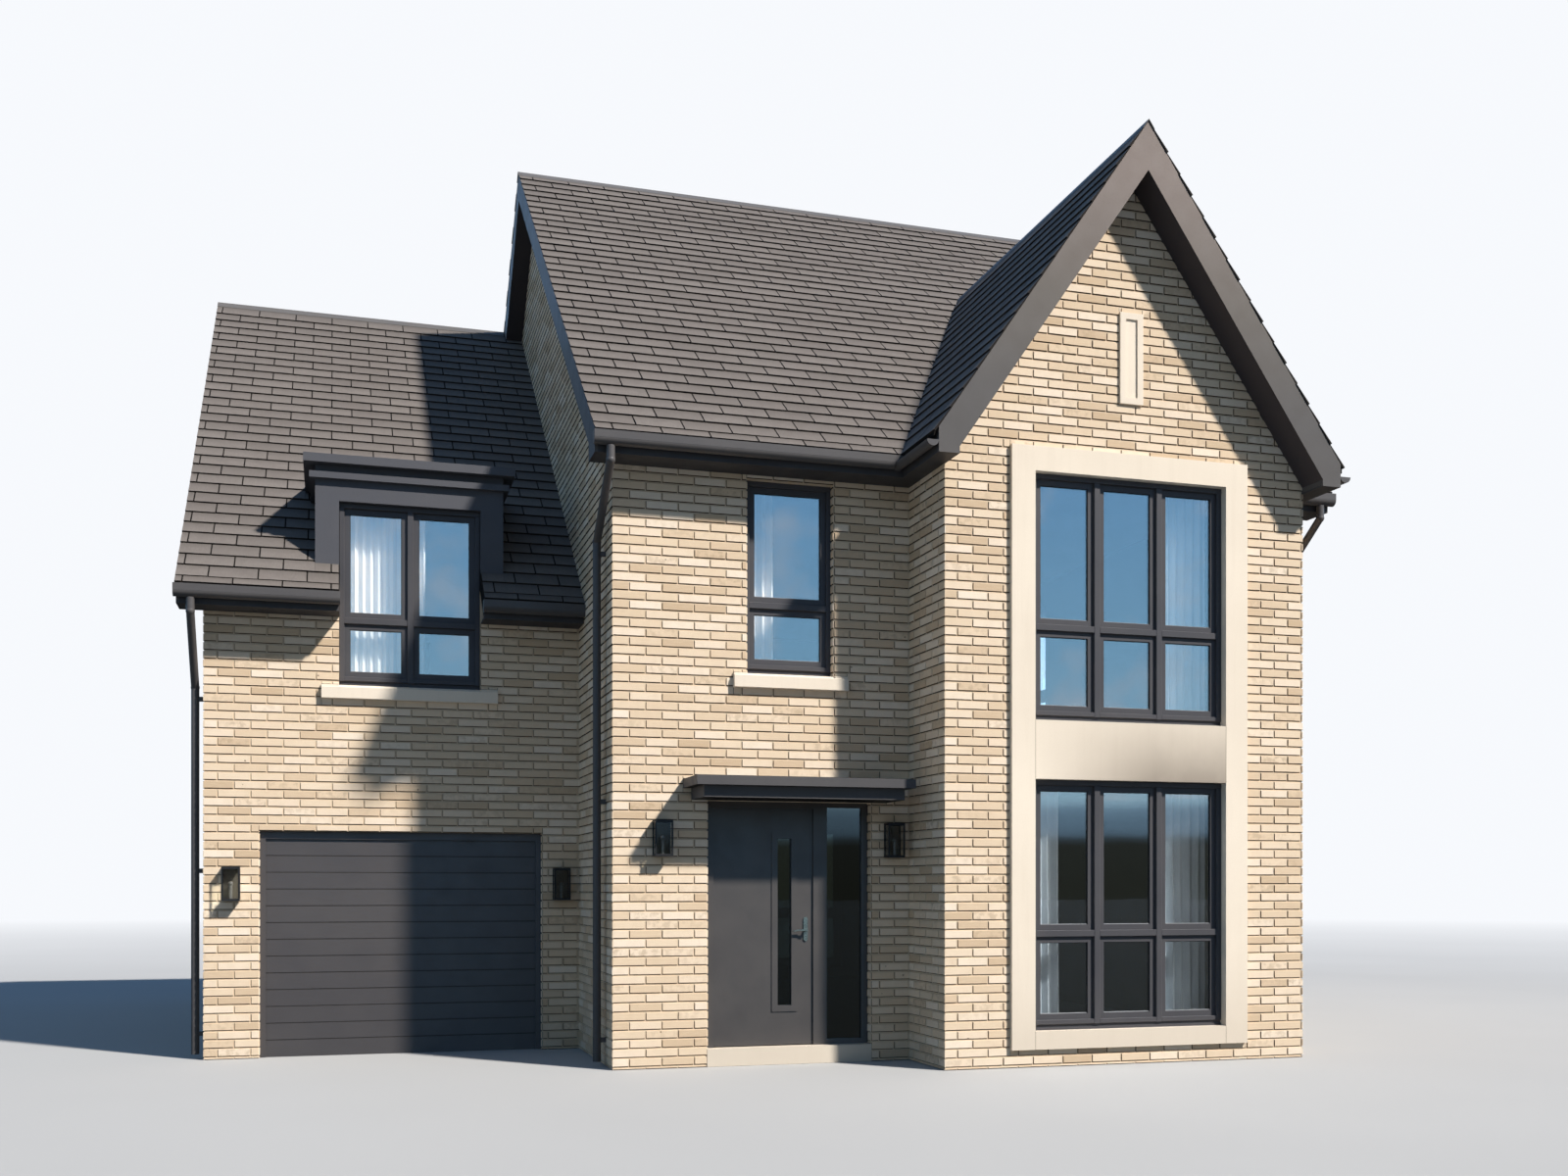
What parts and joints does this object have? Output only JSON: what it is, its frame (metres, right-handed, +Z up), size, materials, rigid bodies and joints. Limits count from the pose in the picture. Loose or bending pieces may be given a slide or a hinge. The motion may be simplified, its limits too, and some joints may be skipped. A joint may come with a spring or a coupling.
{
  "type": "detached house",
  "caption": "Detached brick house with a gabled front bay, a garage wing with a dormer, a pitched tiled roof and a hinged front door.",
  "frame": {"origin": "middle of the footprint's bounding rectangle, at ground level under the ground floor", "axes": "+Z up; -Y towards the front, which has the front door; +X from the garage wing towards the gabled bay"},
  "size_m": [10.091, 11.165, 9.5092],
  "materials": {
    "brick": "fired clay bricks in buff with mortar joints",
    "concrete": "smooth concrete",
    "plasterboard": "matt board",
    "slate": "flat grey-brown tiles",
    "roof_boards": "satin dark boards",
    "rainwater": "satin dark plastic",
    "dormer_metal": "folded grey metal",
    "window_frame": "satin dark grey",
    "window_glass": "clear double glazing",
    "cast_stone": "smooth cream stone",
    "canopy_metal": "dark grey paint",
    "door_paint": "dark grey paint",
    "handle_metal": "satin steel",
    "garage_paint": "dark grey paint with a fine grain",
    "lantern_metal": "black paint",
    "lamp": "frosted white",
    "lantern_glass": "clear glass"
  },
  "bodies": {
    "house": {"ground_floor": "concrete", "first_floor": "concrete", "upper_ceiling": "plasterboard", "garage_front_wall": "brick", "garage_side_wall": "brick", "garage_rear_wall": "brick", "main_left_wall": "brick", "front_wall_left": "brick", "front_wall_over_door": "brick", "front_wall_beside_bay": "brick", "bay_front_wall": "brick", "bay_side_walls": "brick", "right_wall": "brick", "rear_wall": "brick", "main_roof_front": "slate", "main_roof_rear": "slate", "bay_roof_left": "slate", "bay_roof_right": "slate", "garage_roof_front": "slate", "garage_roof_rear": "slate", "ridge_caps": "slate", "main_left_verge": "roof_boards", "main_right_verge": "roof_boards", "bay_bargeboards": "roof_boards", "garage_verge": "roof_boards", "front_eaves": "roof_boards", "garage_eaves": "roof_boards", "rear_eaves": "roof_boards", "front_gutters": "rainwater", "garage_gutters": "rainwater", "rear_gutter": "rainwater", "downpipes": "rainwater", "dormer_surround": "dormer_metal", "dormer_roof": "dormer_metal", "dormer_window": "window_frame", "landing_window": "window_frame", "bay_upper_window": "window_frame", "bay_lower_window": "window_frame", "rear_windows": "window_frame", "front_glass": "window_glass", "rear_glass": "window_glass", "stone_surround": "cast_stone", "gable_plaque": "cast_stone", "window_sills": "cast_stone", "door_step": "cast_stone", "door_canopy": "canopy_metal", "front_door_frame": "door_paint", "sidelight_glass": "window_glass", "garage_door_frame": "garage_paint", "garage_door": "garage_paint", "wall_lanterns": "lantern_metal", "lantern_lamps": "lamp", "lantern_glass": "lantern_glass"},
    "front_door": {"front_door": "door_paint", "front_door_glass": "window_glass", "front_door_handles": "handle_metal"}
  },
  "joints": [
    {"name": "front_door_hinge", "type": "hinge", "parent": "house", "child": "front_door", "pos_m": [-0.722, -4.267, 1.165], "axis": [0, 0, 1], "range_deg": [0, 90]}
  ]
}
